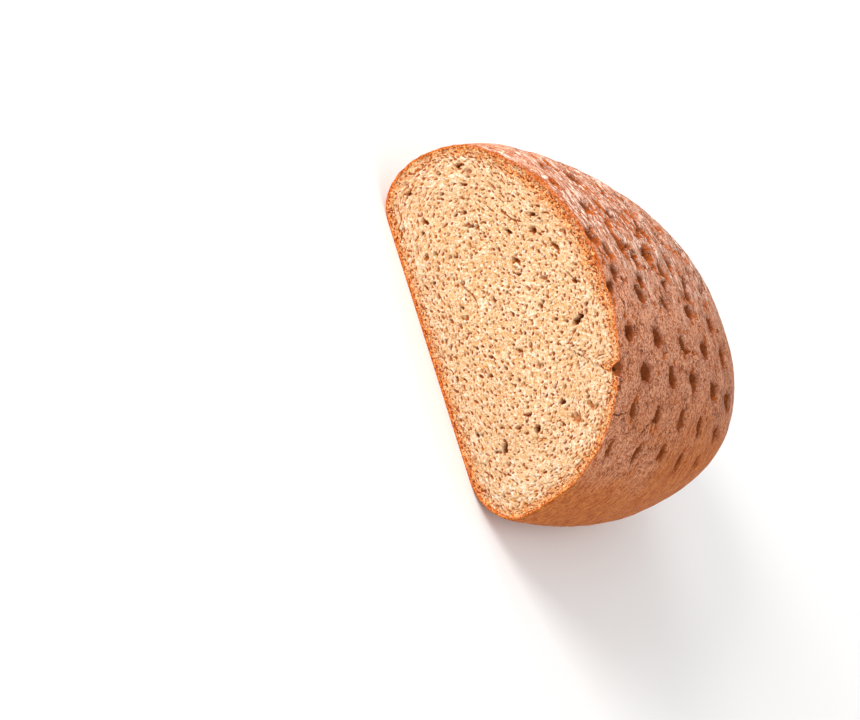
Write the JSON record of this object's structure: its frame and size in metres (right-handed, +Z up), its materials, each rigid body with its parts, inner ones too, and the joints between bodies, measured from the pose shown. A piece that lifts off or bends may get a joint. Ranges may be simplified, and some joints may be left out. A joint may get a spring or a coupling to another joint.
{
  "type": "half mixed rye loaf",
  "caption": "Half of an oblong, docked mixed rye loaf, cut straight across to show its fine crumb, lying on its flat base.",
  "frame": {"origin": "bottom centre of the half loaf's bounding box, on its flat base", "axes": "+Z up through the domed crust, the cut face looks along -Y, the rounded tip points along +Y, +X is the loaf's width"},
  "size_m": [0.16, 0.16, 0.0865],
  "materials": {
    "crust": "baked rye crust, taupe to orange brown, dull with a faint sheen",
    "crumb": "open-pored beige crumb, matte"
  },
  "bodies": {
    "root": {"half_loaf": "crust"}
  },
  "joints": []
}
